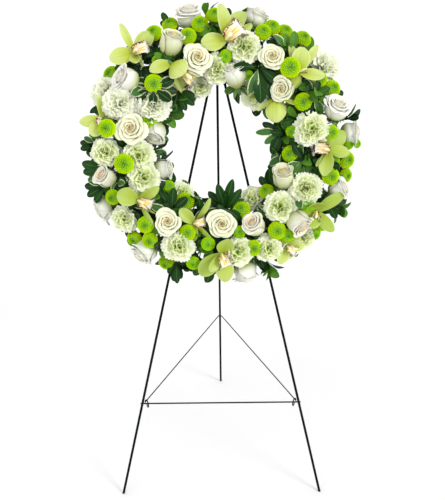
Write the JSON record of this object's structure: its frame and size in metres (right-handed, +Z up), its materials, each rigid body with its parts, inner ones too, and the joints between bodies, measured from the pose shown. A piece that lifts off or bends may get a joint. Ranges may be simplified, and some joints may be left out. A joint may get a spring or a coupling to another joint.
{
  "type": "funeral wreath on wire easel",
  "caption": "Round funeral wreath of white roses, carnations, green orchids, button chrysanthemums and leaves, hung on a folding three-legged wire easel.",
  "frame": {"origin": "on the floor, at the middle of the object's box", "axes": "+Z up; the flowers face -Y and lean back 12 degrees; +X is the viewer's right seen from the front; the rear leg is towards +Y"},
  "size_m": [0.5297, 0.4632, 0.9571],
  "materials": {
    "easel_paint": "very dark green paint on drawn steel wire, satin",
    "bright_wire": "bare drawn wire",
    "tray_plastic": "dark green moulded plastic",
    "floral_foam": "soaked open-cell floral foam, dark green",
    "rose_petal": "fresh white rose petals with a cream heart, soft sheen",
    "carnation_petal": "fresh pale green carnation petals with fringed edges",
    "orchid_petal": "waxy yellow-green orchid petals with a spotted cream lip",
    "button_petal": "lime green button chrysanthemum florets",
    "leaf": "glossy dark green leaves, some with pale edges"
  },
  "bodies": {
    "wreath_and_front": {"front_leg_left": "easel_paint", "front_leg_right": "easel_paint", "apex_pin": "bright_wire", "hanging_hook": "easel_paint", "crossbar": "easel_paint", "fixing_pin_left": "bright_wire", "fixing_pin_right": "bright_wire", "ring_tray": "tray_plastic", "foam_ring": "floral_foam", "rose_01": "rose_petal", "rose_02": "rose_petal", "rose_03": "rose_petal", "rose_04": "rose_petal", "rose_05": "rose_petal", "rose_06": "rose_petal", "rose_07": "rose_petal", "rose_08": "rose_petal", "rose_09": "rose_petal", "rose_10": "rose_petal", "rose_11": "rose_petal", "rose_12": "rose_petal", "rose_13": "rose_petal", "rose_14": "rose_petal", "rose_15": "rose_petal", "rose_16": "rose_petal", "rose_17": "rose_petal", "rose_18": "rose_petal", "rose_19": "rose_petal", "rose_20": "rose_petal", "orchid_01": "orchid_petal", "orchid_02": "orchid_petal", "orchid_03": "orchid_petal", "orchid_04": "orchid_petal", "orchid_05": "orchid_petal", "orchid_06": "orchid_petal", "orchid_07": "orchid_petal", "orchid_08": "orchid_petal", "orchid_09": "orchid_petal", "orchid_10": "orchid_petal", "orchid_11": "orchid_petal", "carnation_01": "carnation_petal", "carnation_02": "carnation_petal", "carnation_03": "carnation_petal", "carnation_04": "carnation_petal", "carnation_05": "carnation_petal", "carnation_06": "carnation_petal", "carnation_07": "carnation_petal", "carnation_08": "carnation_petal", "carnation_09": "carnation_petal", "carnation_10": "carnation_petal", "button_spray_1": "button_petal", "button_spray_2": "button_petal", "button_spray_3": "button_petal", "button_spray_4": "button_petal", "button_spray_5": "button_petal", "greenery_sprig_1": "leaf", "greenery_sprig_2": "leaf", "greenery_sprig_3": "leaf"},
    "rear_leg": {"rear_leg": "easel_paint"},
    "rear_brace": {"rear_brace": "easel_paint"}
  },
  "joints": [
    {"name": "rear_leg_fold", "type": "hinge", "parent": "wreath_and_front", "child": "rear_leg", "pos_m": [0, -0.0456, 0.8402], "axis": [-1, 0, 0], "range_deg": [0, 29]},
    {"name": "brace_fold", "type": "hinge", "parent": "wreath_and_front", "child": "rear_brace", "pos_m": [0, -0.18508, 0.18593], "axis": [1, 0, 0], "range_deg": [0, 68]}
  ],
  "couplings": [
    {"joint": "brace_fold", "follows": "rear_leg_fold", "ratio": 2.34}
  ]
}
